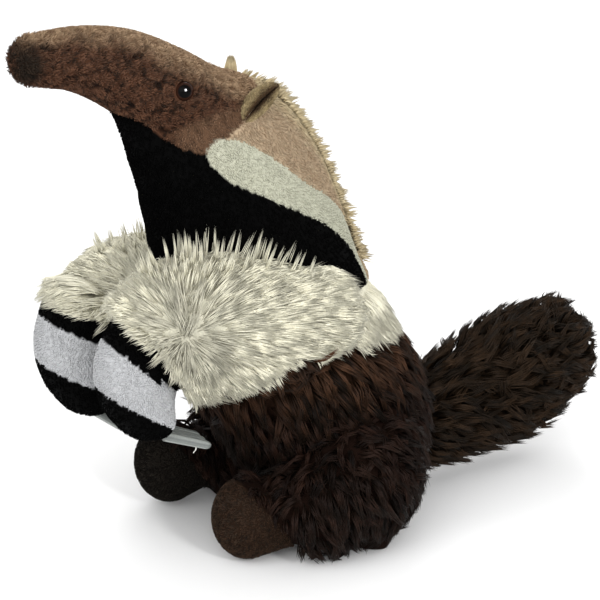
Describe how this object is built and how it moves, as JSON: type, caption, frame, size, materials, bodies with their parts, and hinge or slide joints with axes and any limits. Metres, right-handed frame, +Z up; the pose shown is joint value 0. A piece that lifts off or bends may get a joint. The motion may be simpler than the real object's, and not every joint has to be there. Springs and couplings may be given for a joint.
{
  "type": "plush toy giant anteater",
  "caption": "Stuffed plush giant anteater sitting upright, with a long snout, striped neck, shaggy cream forelegs, shaggy brown body and a raised bushy tail.",
  "frame": {"origin": "on the floor, at the middle of the flat under the seat", "axes": "+Z up; the toy faces -Y, its tail points to +Y and its left side is +X"},
  "size_m": [0.1678, 0.3541, 0.2933],
  "materials": {
    "brown_plush": "short mottled plush, lighter along the top of the head, darker on the cheeks and the snout's end",
    "tan_plush": "short tan plush with a crest of longer straw-coloured tufts",
    "black_plush": "short dense black plush",
    "white_plush": "short dense white plush",
    "cream_pile": "long straight cream pile in loose clumps",
    "brown_pile": "shaggy dark chocolate pile in clumps",
    "dark_plush": "short dark brown plush, worn smooth",
    "olive_plush": "thin olive-tan plush, folded",
    "grey_satin": "smooth grey satin with long creases",
    "eye_plastic": "glossy dark brown bead with a black pupil"
  },
  "bodies": {
    "root": {"head": "brown_plush", "nape": "tan_plush", "throat": "black_plush", "shoulders": "cream_pile", "torso": "brown_pile", "tail": "brown_pile", "neck_stripe_left": "white_plush", "eye_left": "eye_plastic", "ear_left": "olive_plush", "foreleg_left": "cream_pile", "forepaw_cuff_left": "black_plush", "forepaw_band_left": "white_plush", "forepaw_toe_left": "black_plush", "claw_left_1": "grey_satin", "claw_left_2": "grey_satin", "claw_left_3": "grey_satin", "hind_leg_left": "brown_pile", "hind_foot_left": "dark_plush", "neck_stripe_right": "white_plush", "eye_right": "eye_plastic", "ear_right": "olive_plush", "foreleg_right": "cream_pile", "forepaw_cuff_right": "black_plush", "forepaw_band_right": "white_plush", "forepaw_toe_right": "black_plush", "claw_right_1": "grey_satin", "claw_right_2": "grey_satin", "claw_right_3": "grey_satin", "hind_leg_right": "brown_pile", "hind_foot_right": "dark_plush"}
  },
  "joints": []
}
